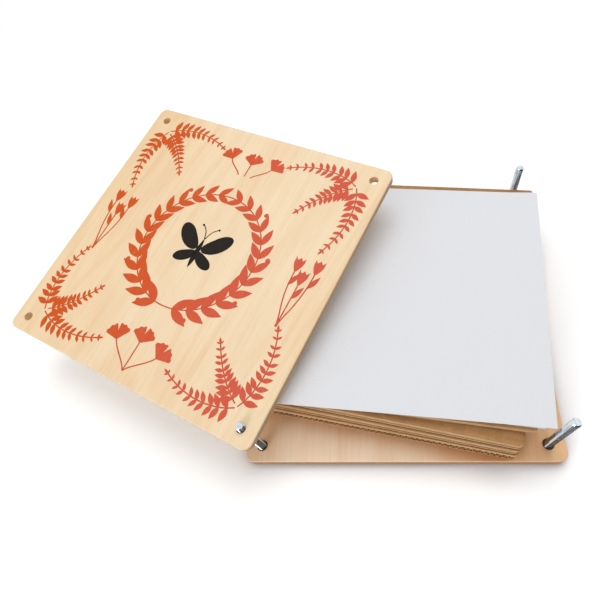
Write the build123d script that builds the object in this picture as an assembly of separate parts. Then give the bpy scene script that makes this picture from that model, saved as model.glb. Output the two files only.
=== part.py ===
from build123d import *

import math
import os

# A flower press, opened: a base board with four bolts, a pile of fluted cards and blotting
# sheets between the bolts, and the cover board swung aside on the front-left bolt.
# It leans on a wing nut at the tip of the back-left bolt.
# Millimetres and degrees. The origin is the middle of the base board's underside, +Z is up,
# and -Y is the front.

# Boards
BOARD_SIDE = 180.0
BOARD_CORNER_R = 5.0
BOARD_EDGE_ROUND = 0.7
BASE_T = 6.0
COVER_T = 5.0

# Bolts, countersunk and flush under the base board
BOLT_INSET = 9.5
BOLT_D = 4.8
BOLT_LENGTH = 50.0
BOLT_TIP_CHAMFER = 0.6
HEAD_D = 9.4
HEAD_RIM = 0.4
HEAD_RECESS = 0.3
HEAD_CLEARANCE = 0.1
DRIVE_SLOT_LENGTH = 5.2
DRIVE_SLOT_WIDTH = 1.1
DRIVE_SLOT_DEPTH = 1.4
BASE_HOLE_PLAY = 0.8

# Wing nuts
NUT_BOSS_FOOT_D = 11.0
NUT_BOSS_TOP_D = 9.0
NUT_BOSS_H = 6.5
NUT_H = 13.0
NUT_SPAN = 26.0
NUT_EAR_R = 3.8
NUT_EAR_T = 2.6
NUT_EAR_ROUND = 0.7
NUT_EAR_ROOT_R = 2.2
NUT_EAR_ROOT_HEIGHT = 3.4
NUT_BORE_CLEARANCE = 0.08
NUT_ENGAGEMENT = 5.4

# Fluted cards, cut to drop between the bolts
CARD_PLAY = 0.8
CARD_T = 4.1
CARD_LINER_T = 0.4
FLUTE_WALL_T = 0.35
FLUTE_PITCH = 3.1

# Blotting sheets, cut a little smaller than the cards
SHEET_TRIM = 4.4
SHEET_T = 0.35
LOWER_SHEET_COUNT = 2
MIDDLE_SHEET_COUNT = 3
UPPER_SHEET_COUNT = 6

# How the pile lies: each lower card lies a little behind the one below and turned a little more,
# the upper card, which is longer, and the sheets on it are turned less, and the upper sheets fan
# out from the top sheet's back-right corner
PILE_TURN = -11.6
PILE_X = 0.9
PILE_Y = 2.75
CARD_SET_BACK = 0.35
CARD_TWIST = -0.12
UPPER_CARD_TURN = -8.6
UPPER_CARD_X = 1.9
UPPER_CARD_Y = 8.1
UPPER_CARD_EXTRA = 1.8
UPPER_SHEETS_TURN = -8.1
TOP_SHEET_TURN = -6.1
TOP_SHEET_TO_BOLT = 2.1
PILE_SHEETS_FORWARD = 2.1
CARD_SLIP = 0.35
SHEET_SLIP = 0.25

# How the cover leans
COVER_TURN = -26.3
COVER_BELOW_TIP = 5.9
COVER_REST_CLEARANCE = 0.3
COVER_HOLE_CLEARANCE = 0.08

# Wing nuts taken off and set down behind the base board
LOOSE_NUT_STANDOFF = 8.5
LOOSE_NUT_SPACING = 30.0
LOOSE_NUT_TURNS = (8.0, -15.0, 20.0)

# Sizes that follow from those above
board_half = BOARD_SIDE / 2
bolt_offset = board_half - BOLT_INSET
bolt_r = BOLT_D / 2
bolt_tip_z = HEAD_RECESS + BOLT_LENGTH
card_side = 2 * bolt_offset - BOLT_D - CARD_PLAY
sheet_side = card_side - SHEET_TRIM
nut_ear_x = NUT_SPAN / 2 - NUT_EAR_R
nut_ear_z = NUT_H - NUT_EAR_R
prop_nut_z = bolt_tip_z - NUT_ENGAGEMENT
slope_heading = 90.0 + COVER_TURN


def cover_tilt():
    """Angle at which the cover's underside clears the propping ear of the back-left wing nut."""
    run = 2 * bolt_offset * math.sin(math.radians(slope_heading)) - nut_ear_x
    rise = prop_nut_z + nut_ear_z - (bolt_tip_z - COVER_BELOW_TIP)
    stand_off = COVER_T / 2 + COVER_REST_CLEARANCE + NUT_EAR_R
    return math.degrees(math.atan2(rise, run) + math.asin(stand_off / math.hypot(run, rise)))


cover_lean = cover_tilt()
lean = math.radians(cover_lean)
cover_hole_r = bolt_r / math.cos(lean) + COVER_T / 2 * math.tan(lean) + COVER_HOLE_CLEARANCE
bolt_places = {
    "front_left": (-bolt_offset, -bolt_offset),
    "front_right": (bolt_offset, -bolt_offset),
    "back_left": (-bolt_offset, bolt_offset),
    "back_right": (bolt_offset, bolt_offset),
}


def board(thickness, hole_r):
    """A square board on z = 0 with rounded corners, softened edges and four bolt holes."""
    outline = RectangleRounded(BOARD_SIDE, BOARD_SIDE, BOARD_CORNER_R)
    plate = extrude(outline, amount=thickness)
    levels = plate.edges().group_by(Axis.Z)
    plate = fillet(levels[0] + levels[-1], BOARD_EDGE_ROUND)
    for x, y in bolt_places.values():
        plate -= Pos(x, y, thickness / 2) * Cylinder(hole_r, 2 * thickness)
    return plate


def base_board():
    """The lower board, countersunk from below for the bolt heads."""
    mouth_r = HEAD_D / 2 + HEAD_CLEARANCE
    rim_z = HEAD_RECESS + HEAD_RIM
    plate = board(BASE_T, bolt_r + BASE_HOLE_PLAY)
    seat = Pos(0, 0, rim_z / 2) * Cylinder(mouth_r, rim_z)
    seat += Pos(0, 0, rim_z + mouth_r / 2) * Cone(mouth_r, 0, mouth_r)
    for x, y in bolt_places.values():
        plate -= Pos(x, y, 0) * seat
    return plate


def bolt():
    """A countersunk bolt on the Z axis, with a cross slot in its head and a chamfered tip."""
    head_r = HEAD_D / 2
    rim_z = HEAD_RECESS + HEAD_RIM
    with BuildSketch(Plane.XZ) as half:
        with BuildLine():
            Polyline(
                (0, HEAD_RECESS),
                (head_r, HEAD_RECESS),
                (head_r, rim_z),
                (bolt_r, rim_z + head_r - bolt_r),
                (bolt_r, bolt_tip_z - BOLT_TIP_CHAMFER),
                (bolt_r - BOLT_TIP_CHAMFER, bolt_tip_z),
                (0, bolt_tip_z),
                close=True,
            )
        make_face()
    shaft = revolve(half.sketch, Axis.Z)
    slot = Box(DRIVE_SLOT_LENGTH, DRIVE_SLOT_WIDTH, 2 * DRIVE_SLOT_DEPTH)
    cross = Pos(0, 0, HEAD_RECESS) * (slot + Rot(0, 0, 90) * slot)
    return shaft - cross


def wing_nut():
    """A wing nut standing on z = 0, bored along Z, with its ears along X."""
    boss = Pos(0, 0, NUT_BOSS_H / 2) * Cone(NUT_BOSS_FOOT_D / 2, NUT_BOSS_TOP_D / 2, NUT_BOSS_H)
    root_x = NUT_BOSS_TOP_D / 2 - NUT_EAR_ROOT_R / 2
    with BuildSketch(Plane.XZ) as ear_face:
        with Locations((nut_ear_x, nut_ear_z)):
            Circle(NUT_EAR_R)
        with Locations((root_x, NUT_EAR_ROOT_HEIGHT)):
            Circle(NUT_EAR_ROOT_R)
        make_hull()
    ear = extrude(ear_face.sketch, amount=NUT_EAR_T / 2, both=True)
    faces = ear.faces().sort_by(Axis.Y)
    ear = fillet(faces[0].edges() + faces[-1].edges(), NUT_EAR_ROUND)
    bore = Cylinder(bolt_r + NUT_BORE_CLEARANCE, 4 * NUT_H)
    return boss + ear + Rot(0, 0, 180) * ear - bore


def flute_void(x, height, half_pitch, points_up):
    """Outline of one flute's hollow, a triangle between the wavy wall and a liner."""
    slant = math.atan2(height, half_pitch)
    side = half_pitch - FLUTE_WALL_T / 2 / math.sin(slant)
    tip = FLUTE_WALL_T / 2 / math.cos(slant)
    low = CARD_LINER_T
    high = CARD_LINER_T + height
    if points_up:
        corners = [(x - side, 0, low), (x + side, 0, low), (x, 0, high - tip)]
    else:
        corners = [(x - side, 0, high), (x, 0, low + tip), (x + side, 0, high)]
    return corners


def fluted_card(width):
    """A fluted card on z = 0 whose flutes run along Y, with an open half flute at each side."""
    height = CARD_T - 2 * CARD_LINER_T
    count = 2 * round(width / FLUTE_PITCH)
    half_pitch = width / count
    half = width / 2
    voids = []
    for k in range(1, count):
        voids.append(flute_void(k * half_pitch - half, height, half_pitch, k % 2 == 1))
    left_open = flute_void(-half, height, half_pitch, False)
    right_open = flute_void(half, height, half_pitch, False)
    outline = [
        (-half, 0, 0),
        (half, 0, 0),
        right_open[1],
        right_open[0],
        (half, 0, right_open[0][2]),
        (half, 0, CARD_T),
        (-half, 0, CARD_T),
        (-half, 0, left_open[2][2]),
        left_open[2],
        left_open[1],
    ]
    outer = Wire.make_polygon([Vector(*p) for p in outline], close=True)
    inner = [Wire.make_polygon([Vector(*p) for p in void], close=True) for void in voids]
    section = Face(outer, inner)
    return Pos(0, card_side / 2, 0) * Solid.extrude(section, Vector(0, -card_side, 0))


def laid(x, y, z, turn, piece):
    """The piece moved to its place in the pile."""
    return Pos(x, y, z) * Rot(0, 0, turn) * piece


def sheets(count, x, y, z, turn, forward=0.0):
    """Blotting sheets on each other, drawn forward, each slipped a little from the one below."""
    slips = [(0, 0), (1, -1), (-1, 1), (1, 1), (-1, 0), (0, -1)]
    stack = []
    for i in range(count):
        dx, dy = slips[i % len(slips)]
        slipped = Pos(dx * SHEET_SLIP, dy * SHEET_SLIP - forward, SHEET_T / 2)
        sheet = slipped * Box(sheet_side, sheet_side, SHEET_T)
        stack.append(laid(x, y, z + i * SHEET_T, turn, sheet))
    return stack


def card_pile():
    """The lower cards with their sheets, by node name, and the height of the pile's top."""
    card = fluted_card(card_side)
    crossed = Rot(0, 0, 90) * card
    turned_over = Rot(0, 0, 90) * Pos(0, 0, CARD_T) * Rot(0, 180, 0) * card
    layers = [
        ("corrugated_card_1", card, 0),
        ("corrugated_card_2", crossed, 1),
        ("corrugated_card_3", turned_over, -1),
        ("corrugated_card_4", crossed, 0),
        ("corrugated_card_5", turned_over, 1),
        ("corrugated_card_6", crossed, 0),
    ]
    sheets_on = {
        "corrugated_card_4": ("blotting_sheets_lower", LOWER_SHEET_COUNT),
        "corrugated_card_5": ("blotting_sheets_middle", MIDDLE_SHEET_COUNT),
    }
    pile = {}
    z = BASE_T
    for i, (name, form, slip) in enumerate(layers):
        y = PILE_Y + i * CARD_SET_BACK
        turn = PILE_TURN + i * CARD_TWIST
        pile[name] = [laid(PILE_X + slip * CARD_SLIP, y, z, turn, form)]
        z += CARD_T
        if name in sheets_on:
            sheets_name, count = sheets_on[name]
            pile[sheets_name] = sheets(count, PILE_X, y, z, turn, PILE_SHEETS_FORWARD)
            z += count * SHEET_T
    return pile, z


def from_middle(x_sign, y_sign, turn):
    """Way from a sheet's middle to one of its corners, for a sheet turned in the pile."""
    return Vector(x_sign * sheet_side / 2, y_sign * sheet_side / 2, 0).rotate(Axis.Z, turn)


def white_sheet_places():
    """Middles of the top sheet, whose front-right corner lies beside the bolt, and the sheets below."""
    bolt_x, bolt_y = bolt_places["front_right"]
    front_corner = Vector(bolt_x - bolt_r - TOP_SHEET_TO_BOLT - 2 * SHEET_SLIP, bolt_y, 0)
    top = front_corner - from_middle(1, -1, TOP_SHEET_TURN)
    back_corner = top + from_middle(1, 1, TOP_SHEET_TURN)
    return top, back_corner - from_middle(1, 1, UPPER_SHEETS_TURN)


def upper_layers(z):
    """The upper card and the white sheets on it, by node name, from height z upwards."""
    crossed = Rot(0, 0, 90) * fluted_card(card_side + UPPER_CARD_EXTRA)
    top, below = white_sheet_places()
    below_z = z + CARD_T
    top_z = below_z + UPPER_SHEET_COUNT * SHEET_T
    return {
        "corrugated_card_7": [laid(UPPER_CARD_X, UPPER_CARD_Y, z, UPPER_CARD_TURN, crossed)],
        "blotting_sheets_upper": sheets(UPPER_SHEET_COUNT, below.X, below.Y, below_z, UPPER_SHEETS_TURN),
        "blotting_sheet_top": sheets(1, top.X, top.Y, top_z, TOP_SHEET_TURN),
    }


def leaning_cover():
    """The cover with its front-right hole on the front-left bolt, tilted up towards its back."""
    x, y = bolt_places["front_left"]
    flat = board(COVER_T, cover_hole_r)
    hole_to_origin = Pos(-bolt_offset, bolt_offset, -COVER_T / 2)
    place = Pos(x, y, bolt_tip_z - COVER_BELOW_TIP) * Rot(0, 0, COVER_TURN) * Rot(cover_lean, 0, 0)
    return place * hole_to_origin * flat


def wing_nuts():
    """The propping nut on the back-left bolt and the three set down behind, by node name."""
    nut = wing_nut()
    x, y = bolt_places["back_left"]
    nuts = {"wing_nut_back_left": [Pos(x, y, prop_nut_z) * Rot(0, 0, slope_heading) * nut]}
    loose = ("wing_nut_front_left", "wing_nut_back_right", "wing_nut_front_right")
    loose_y = board_half + LOOSE_NUT_STANDOFF
    for i, name in enumerate(loose):
        loose_x = (i - 1) * LOOSE_NUT_SPACING
        nuts[name] = [Pos(loose_x, loose_y, 0) * Rot(0, 0, LOOSE_NUT_TURNS[i]) * nut]
    return nuts


def flower_press():
    """Every piece of the press, as lists of solids by node name."""
    pieces = {"base_board": [base_board()], "cover_board": [leaning_cover()]}
    shaft = bolt()
    for corner, (x, y) in bolt_places.items():
        pieces["bolt_" + corner] = [Pos(x, y, 0) * shaft]
    pieces.update(wing_nuts())
    pile, top_z = card_pile()
    pieces.update(pile)
    pieces.update(upper_layers(top_z))
    return pieces


def write_parts(pieces):
    """One STEP file for each node."""
    os.makedirs("parts", exist_ok=True)
    for name, solids in pieces.items():
        shape = solids[0] if len(solids) == 1 else Compound(children=solids)
        export_step(shape, os.path.join("parts", name + ".step"))


write_parts(flower_press())
print(f"cards {card_side:.1f} mm, sheets {sheet_side:.1f} mm, cover leans {cover_lean:.2f} degrees")
print(f"cover holes {2 * cover_hole_r:.2f} mm across, bolt tips at {bolt_tip_z:.1f} mm")
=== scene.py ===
"""Looks of an opened flower press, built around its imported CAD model.

Lengths are in metres, in the CAD model's frame: the origin is the middle of the base board's
underside, +Z is up and -Y is the front. The print on the cover is drawn in millimetres.
"""

import logging
import math
from dataclasses import dataclass, field
from enum import Enum
from typing import Sequence, Union

import bpy
from mathutils import Matrix, Vector
from mathutils.geometry import interpolate_bezier


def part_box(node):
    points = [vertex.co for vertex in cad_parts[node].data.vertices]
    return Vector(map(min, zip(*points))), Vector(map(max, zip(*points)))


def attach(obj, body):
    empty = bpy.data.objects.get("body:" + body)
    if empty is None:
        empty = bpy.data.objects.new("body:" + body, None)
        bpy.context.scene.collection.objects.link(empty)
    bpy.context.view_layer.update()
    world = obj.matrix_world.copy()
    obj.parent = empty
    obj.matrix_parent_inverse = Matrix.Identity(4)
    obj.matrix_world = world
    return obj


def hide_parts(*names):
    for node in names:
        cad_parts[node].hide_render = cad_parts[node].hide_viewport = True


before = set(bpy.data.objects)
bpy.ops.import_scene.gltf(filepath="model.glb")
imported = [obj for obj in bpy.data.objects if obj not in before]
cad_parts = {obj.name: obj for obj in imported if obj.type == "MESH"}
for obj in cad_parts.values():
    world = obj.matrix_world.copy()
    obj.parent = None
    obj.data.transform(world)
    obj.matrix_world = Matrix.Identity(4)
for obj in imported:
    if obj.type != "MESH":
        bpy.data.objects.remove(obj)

LOG = logging.getLogger("flower_press")
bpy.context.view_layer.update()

# Points closer than this become one, and a face whose normal passes FACING along Z counts as level
CLOSE = 1e-7
FACING = 0.5

Triple = tuple[float, float, float]
Flat = tuple[float, float]
Piece = bpy.types.Object
Material = bpy.types.Material
Socket = bpy.types.NodeSocket
Feed = Union[Socket, float, Sequence[float]]


def deselect_all() -> None:
    """Leaves nothing selected, so that an operator acts on new pieces alone."""
    bpy.ops.object.select_all(action="DESELECT")


def pick(*pieces: Piece) -> None:
    """Selects the pieces alone and makes the first one active.

    Args:
        pieces: The objects to select.
    """
    deselect_all()
    for piece in pieces:
        piece.select_set(True)
    bpy.context.view_layer.objects.active = pieces[0]


def settle(piece: Piece) -> None:
    """Moves a piece's place, turn and scale into its mesh."""
    pick(piece)
    bpy.ops.object.transform_apply(location=True, rotation=True, scale=True)


def apply_modifiers(piece: Piece) -> None:
    """Applies every modifier of a piece in order.

    Args:
        piece: The object whose modifiers are applied.
    """
    pick(piece)
    for modifier in list(piece.modifiers):
        bpy.ops.object.modifier_apply(modifier=modifier.name)


def edit(piece: Piece, action: str) -> None:
    """Opens a piece in edit mode, with all of it selected or none of it.

    Args:
        piece: The mesh object.
        action: SELECT or DESELECT.
    """
    pick(piece)
    bpy.ops.object.mode_set(mode="EDIT")
    bpy.ops.mesh.select_all(action=action)


def leave_edit() -> None:
    """Goes back to object mode."""
    bpy.ops.object.mode_set(mode="OBJECT")


def extrude(*move: float) -> None:
    """Extrudes what is selected in edit mode, by a move along X, Y and Z."""
    bpy.ops.mesh.extrude_region_move(TRANSFORM_OT_translate={"value": move})


def extrude_faces(piece: Piece, faces: Sequence[int], rise: float) -> None:
    """Extrudes some faces of a piece along Z.

    Args:
        piece: The mesh object.
        faces: Numbers of the faces.
        rise: How far they move.
    """
    edit(piece, "DESELECT")
    leave_edit()
    for number in faces:
        piece.data.polygons[number].select = True
    bpy.ops.object.mode_set(mode="EDIT")
    extrude(0.0, 0.0, rise)
    leave_edit()


def close_up(piece: Piece, merge: float = CLOSE) -> None:
    """Merges doubled vertices and turns every face outwards.

    Args:
        piece: The mesh object.
        merge: Distance under which vertices become one.
    """
    edit(piece, "SELECT")
    bpy.ops.mesh.remove_doubles(threshold=merge)
    bpy.ops.mesh.normals_make_consistent(inside=False)
    leave_edit()


def smooth(piece: Piece, angle_deg: float) -> None:
    """Shades a piece smooth where its faces meet at less than an angle."""
    pick(piece)
    bpy.ops.object.shade_smooth_by_angle(angle=math.radians(angle_deg))


def copy_of(piece: Piece, name: str, place: Matrix) -> Piece:
    """Copies a piece with a mesh of its own.

    Args:
        piece: The modelled piece.
        name: The copy's name.
        place: Where the copy's mesh goes.

    Returns:
        The copy, at the origin, with its place in its mesh.
    """
    copy = bpy.data.objects.new(name, piece.data.copy())
    copy.data.transform(place)
    bpy.context.scene.collection.objects.link(copy)
    return copy


def joined(pieces: Sequence[Piece], name: str) -> Piece:
    """Joins pieces into the first one.

    Args:
        pieces: The objects to join.
        name: The joined object's name.

    Returns:
        The joined object.
    """
    pick(*pieces)
    bpy.ops.object.join()
    pieces[0].name = name
    pieces[0].data.name = name
    return pieces[0]


def dress(piece: Piece, material: Material) -> None:
    """Gives a piece one material all over."""
    piece.data.materials.clear()
    piece.data.materials.append(material)


def dress_node(node: str, material: Material) -> None:
    """Gives a CAD node one material all over, and reports it."""
    dress(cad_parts[node], material)
    LOG.info("%s is dressed in %s", node, material.name)


def mount(piece: Piece, body: str) -> None:
    """Puts a new, dressed piece on its CAD body, and reports it.

    Args:
        piece: The finished mesh object.
        body: The CAD body that it moves with.
    """
    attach(piece, body)
    LOG.info("%s rides on %s, %d faces", piece.name, body, len(piece.data.polygons))


@dataclass(frozen=True)
class Pattern:
    """Soft noise: features per metre along each axis, octaves, twist, the band that shows, weight."""

    per_metre: Triple
    detail: float = 2.0
    twist: float = 0.0
    band: Flat = (0.0, 1.0)
    weight: float = 1.0


class NodeGraph:
    """Shader nodes in the making, with short ways to add and link them."""

    def __init__(self, tree: bpy.types.NodeTree) -> None:
        """Takes up a node tree."""
        self.tree = tree

    def add(self, kind: str, **settings: object) -> bpy.types.Node:
        """Adds a shader node.

        Args:
            kind: The node's type, without its ShaderNode prefix.
            settings: Properties of the node.

        Returns:
            The node.
        """
        node = self.tree.nodes.new("ShaderNode" + kind)
        for key, value in settings.items():
            setattr(node, key, value)
        return node

    def feed(self, target: Socket, source: Feed) -> None:
        """Links a socket, or sets its constant.

        Args:
            target: The input socket.
            source: An output socket, a number, a vector or a colour.
        """
        if isinstance(source, bpy.types.NodeSocket):
            self.tree.links.new(source, target)
        elif isinstance(source, tuple) and len(target.default_value) == 4:
            target.default_value = (*source, 1.0)
        else:
            target.default_value = source

    def calc(self, operation: str, first: Feed, second: Feed = 0.0) -> Socket:
        """One step of arithmetic.

        Args:
            operation: The Math node's operation.
            first: First value.
            second: Second value.

        Returns:
            The result.
        """
        node = self.add("Math", operation=operation)
        self.feed(node.inputs[0], first)
        self.feed(node.inputs[1], second)
        return node.outputs[0]

    def weighted(self, *parts: tuple[Socket, float]) -> Socket:
        """Adds up tones by their weights.

        Args:
            parts: Each tone with its weight.

        Returns:
            The sum.
        """
        total = self.calc("MULTIPLY", *parts[0])
        for tone, weight in parts[1:]:
            total = self.calc("ADD", total, self.calc("MULTIPLY", tone, weight))
        return total

    def span(
        self,
        value: Feed,
        low: float,
        high: float,
        to_low: float = 0.0,
        to_high: float = 1.0,
        ease: str = "SMOOTHSTEP",
    ) -> Socket:
        """Takes a value from one span to another, flat beyond both ends.

        Args:
            value: The value.
            low: Start of its span.
            high: End of its span.
            to_low: Result at the start.
            to_high: Result at the end.
            ease: How it runs between the ends.

        Returns:
            The result.
        """
        node = self.add("MapRange", interpolation_type=ease)
        for socket, feed in zip(node.inputs, (value, low, high, to_low, to_high)):
            self.feed(socket, feed)
        return node.outputs[0]

    def mix(self, share: Feed, first: Feed, second: Feed, blend: str = "MIX") -> Socket:
        """Mixes two colours.

        Args:
            share: How much of the second colour there is.
            first: First colour.
            second: Second colour.
            blend: The way of mixing.

        Returns:
            The mixed colour.
        """
        node = self.add("Mix", data_type="RGBA", blend_type=blend)
        for number, feed in ((0, share), (6, first), (7, second)):
            self.feed(node.inputs[number], feed)
        return node.outputs[2]

    def mix_shaders(self, share: Feed, first: Socket, second: Socket) -> Socket:
        """Mixes two shaders.

        Args:
            share: How much of the second shader there is.
            first: First shader.
            second: Second shader.

        Returns:
            The mixed shader.
        """
        node = self.add("MixShader")
        for socket, feed in zip(node.inputs, (share, first, second)):
            self.feed(socket, feed)
        return node.outputs[0]

    def axes(self, coords: Socket) -> list[Socket]:
        """Takes coordinates apart.

        Args:
            coords: The coordinates.

        Returns:
            Their X, Y and Z.
        """
        node = self.add("SeparateXYZ")
        self.feed(node.inputs[0], coords)
        return list(node.outputs)

    def own_axes(self, place: Matrix) -> Socket:
        """Object coordinates in a piece's own axes.

        Args:
            place: The piece's own frame in the CAD frame.

        Returns:
            The coordinates, in metres.
        """
        mapping = self.add("Mapping", vector_type="TEXTURE")
        self.feed(mapping.inputs["Vector"], self.add("TexCoord").outputs["Object"])
        mapping.inputs["Location"].default_value = place.to_translation()
        mapping.inputs["Rotation"].default_value = place.to_euler("XYZ")
        return mapping.outputs[0]

    def noise(self, coords: Socket, pattern: Pattern) -> Socket:
        """Soft noise, stretched by its scale along each axis.

        Args:
            coords: Coordinates in metres.
            pattern: The pattern.

        Returns:
            The noise, around 0.5.
        """
        mapping = self.add("Mapping")
        self.feed(mapping.inputs["Vector"], coords)
        mapping.inputs["Scale"].default_value = pattern.per_metre
        node = self.add("TexNoise")
        self.feed(node.inputs["Vector"], mapping.outputs[0])
        node.inputs["Scale"].default_value = 1.0
        node.inputs["Detail"].default_value = pattern.detail
        node.inputs["Distortion"].default_value = pattern.twist
        return node.outputs[0]

    def patches(self, coords: Socket, pattern: Pattern) -> Socket:
        """The band of a pattern that shows, from 0 to 1."""
        return self.span(self.noise(coords, pattern), *pattern.band)


class MaterialGraph(NodeGraph):
    """A node material in the making."""

    def __init__(self, name: str) -> None:
        """Starts the material with its shader.

        Args:
            name: The material's name.
        """
        self.material = bpy.data.materials.new(name)
        self.material.use_nodes = True
        super().__init__(self.material.node_tree)
        self.shader = self.tree.nodes["Principled BSDF"]

    def bump(self, height: Socket, depth: float, strength: float) -> None:
        """Gives the shader a fine relief.

        Args:
            height: The relief, from 0 to 1.
            depth: Its depth in metres.
            strength: How strongly it shows.
        """
        node = self.add("Bump")
        node.inputs["Strength"].default_value = strength
        node.inputs["Distance"].default_value = depth
        self.feed(node.inputs["Height"], height)
        self.feed(self.shader.inputs["Normal"], node.outputs[0])

    def set(self, **values: Feed) -> None:
        """Sets the shader's sockets, with underscores for spaces in their names."""
        for name, value in values.items():
            self.feed(self.shader.inputs[name.replace("_", " ")], value)


WOOD_FIBRE = Pattern((1300.0, 20.0, 1300.0), 3.0, band=(0.25, 0.75), weight=0.34)


@dataclass(frozen=True)
class BirchPlywood:
    """Sanded birch plywood with matt lacquer: grain along the board's Y, plies in its edges, painted shade
    in its corners and painted light and shade on its bolt-hole walls.
    """

    name: str
    pale: Triple
    dark: Triple
    edge_pale: Triple
    edge_dark: Triple
    glue: Triple
    # Tint away from the pale stripe: partly heartwood, partly painted shade.
    heartwood_and_shade: Triple
    pale_stripe_x: float
    pale_stripe_reach: Flat
    # Painted shade: a tint multiplied into the corners that ambient occlusion finds.
    painted_corner_shade: Triple
    # Painted light and shade: the set colour of the bolt-hole walls.
    bore_wall_light_and_shade: Triple
    thickness: float
    bore_inset: float = 0.0805
    bore_reach: float = 0.004
    painted_corner_shade_reach: float = 0.02
    painted_corner_shade_band: Flat = (0.3, 0.92)
    edge_band: Flat = (0.3, 0.95)
    edge_weight: float = 0.75
    rings: Pattern = Pattern((17.0, 2.4, 17.0), 1.5, 0.35, band=(-0.2, 1.0), weight=0.26)
    ring_count: float = 62.0
    mottle: Pattern = Pattern((16.0, 11.0, 16.0), 2.0, 0.8, band=(0.3, 0.72), weight=0.32)
    streaks: Pattern = Pattern((210.0, 6.0, 210.0), 2.0, 0.3, band=(0.42, 0.72), weight=0.26)
    pores: Pattern = Pattern((2300.0, 95.0, 2300.0), 1.0, band=(0.64, 0.76), weight=0.3)
    drift: Pattern = Pattern((14.0, 3.0, 14.0), weight=0.03)
    cross_fibre: Pattern = Pattern((20.0, 1300.0, 1300.0), 3.0, band=(0.25, 0.75))
    plies: int = 5
    ply_margin: float = 0.01
    veneer_plies: float = 0.97
    seam_band: Flat = (0.04, 0.12)
    seam_weight: float = 0.65
    rub_band: Flat = (0.2, 0.8)
    roughness: Flat = (0.5, 0.64)
    specular: float = 0.32
    fibre_relief: float = 0.5
    relief: Flat = (0.00006, 0.3)

    def material(self, place: Matrix) -> Material:
        """Builds the finish for one board.

        Args:
            place: The board's frame, in the middle of its underside.

        Returns:
            The material.
        """
        graph = MaterialGraph(self.name)
        own = graph.own_axes(place)
        fibre = graph.noise(own, WOOD_FIBRE)
        pores = graph.patches(own, self.pores)
        veneer = self.veneer(graph, own, fibre, pores)
        side = self.side_share(graph, place)
        veneer = graph.mix(graph.calc("MULTIPLY", side, self.edge_weight), veneer, self.edge_pale)
        colour = self.edge(graph, own, veneer, fibre)
        # Painted shade: corners found by ambient occlusion take a darker, warmer tint.
        corner = graph.add("AmbientOcclusion")
        corner.inputs["Distance"].default_value = self.painted_corner_shade_reach
        clear = graph.span(corner.outputs["AO"], *self.painted_corner_shade_band)
        colour = graph.mix(clear, graph.mix(1.0, colour, self.painted_corner_shade, "MULTIPLY"), colour)
        # Painted light and shade: the bolt-hole walls take a set colour, darker in the base and paler in
        # the cover.
        painted_bore_wall = graph.calc("MULTIPLY", self.near_bore(graph, own), side)
        graph.set(
            Base_Color=graph.mix(painted_bore_wall, colour, self.bore_wall_light_and_shade),
            Roughness=graph.span(fibre, *self.rub_band, *self.roughness),
            Specular_IOR_Level=self.specular,
        )
        height = graph.calc("SUBTRACT", graph.calc("MULTIPLY", fibre, self.fibre_relief), pores)
        graph.bump(height, *self.relief)
        return graph.material

    def veneer(self, graph: MaterialGraph, own: Socket, fibre: Socket, pores: Socket) -> Socket:
        """Colour of the outer veneer: broad figure, fine fibres, mottle, pores and a warmer tint away from
        a pale middle stripe, partly heartwood and partly painted shade near the pile and the bolts.

        Args:
            graph: The material.
            own: The board's own coordinates.
            fibre: Fine streaks along the grain.
            pores: Short dark flecks along the grain.

        Returns:
            The colour.
        """
        swell = graph.calc("MULTIPLY", graph.noise(own, self.rings), self.ring_count)
        grain = graph.weighted(
            (graph.span(graph.calc("SINE", swell), *self.rings.band), self.rings.weight),
            (graph.span(fibre, *WOOD_FIBRE.band), WOOD_FIBRE.weight),
            (graph.patches(own, self.mottle), self.mottle.weight),
            (graph.patches(own, self.streaks), self.streaks.weight),
        )
        colour = graph.mix(grain, self.pale, self.dark)
        # A warmer tint away from a pale stripe along X: partly heartwood, partly painted shade where the
        # pile and the bolts shade the board.
        drift = graph.calc("MULTIPLY", graph.noise(own, self.drift), self.drift.weight)
        across = graph.calc("ADD", graph.axes(own)[0], drift)
        away = graph.calc("SUBTRACT", across, self.pale_stripe_x + self.drift.weight / 2)
        heartwood_and_shade = graph.span(graph.calc("ABSOLUTE", away), *self.pale_stripe_reach)
        colour = graph.mix(heartwood_and_shade, colour, graph.mix(1.0, colour, self.heartwood_and_shade, "MULTIPLY"))
        return graph.mix(graph.calc("MULTIPLY", pores, self.pores.weight), colour, self.edge_pale)

    def edge(self, graph: MaterialGraph, own: Socket, veneer: Socket, fibre: Socket) -> Socket:
        """Adds the crossed plies and their glue lines below the outer veneers.

        Args:
            graph: The material.
            own: The board's own coordinates.
            veneer: The outer veneer's colour.
            fibre: Fine streaks along the grain.

        Returns:
            The colour of the whole board.
        """
        level = graph.calc("MULTIPLY", graph.axes(own)[2], self.plies / self.thickness)
        inside = graph.calc("MAXIMUM", level, self.ply_margin)
        inside = graph.calc("MINIMUM", inside, self.plies - self.ply_margin)
        crossed = graph.calc("MODULO", graph.calc("FLOOR", inside), 2.0)
        from_middle = graph.calc("ABSOLUTE", graph.calc("SUBTRACT", level, self.plies / 2))
        inner = graph.calc("LESS_THAN", from_middle, self.plies / 2 - self.veneer_plies)
        seam = graph.span(graph.calc("PINGPONG", inside, 0.5), *self.seam_band, 1.0, 0.0)
        long_ply = graph.mix(graph.span(fibre, *WOOD_FIBRE.band), self.edge_pale, self.edge_dark)
        cross_ply = graph.mix(graph.patches(own, self.cross_fibre), self.edge_dark, self.glue)
        plies = graph.mix(crossed, long_ply, cross_ply)
        plies = graph.mix(graph.calc("MULTIPLY", seam, self.seam_weight), plies, self.glue)
        return graph.mix(inner, veneer, plies)

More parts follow.
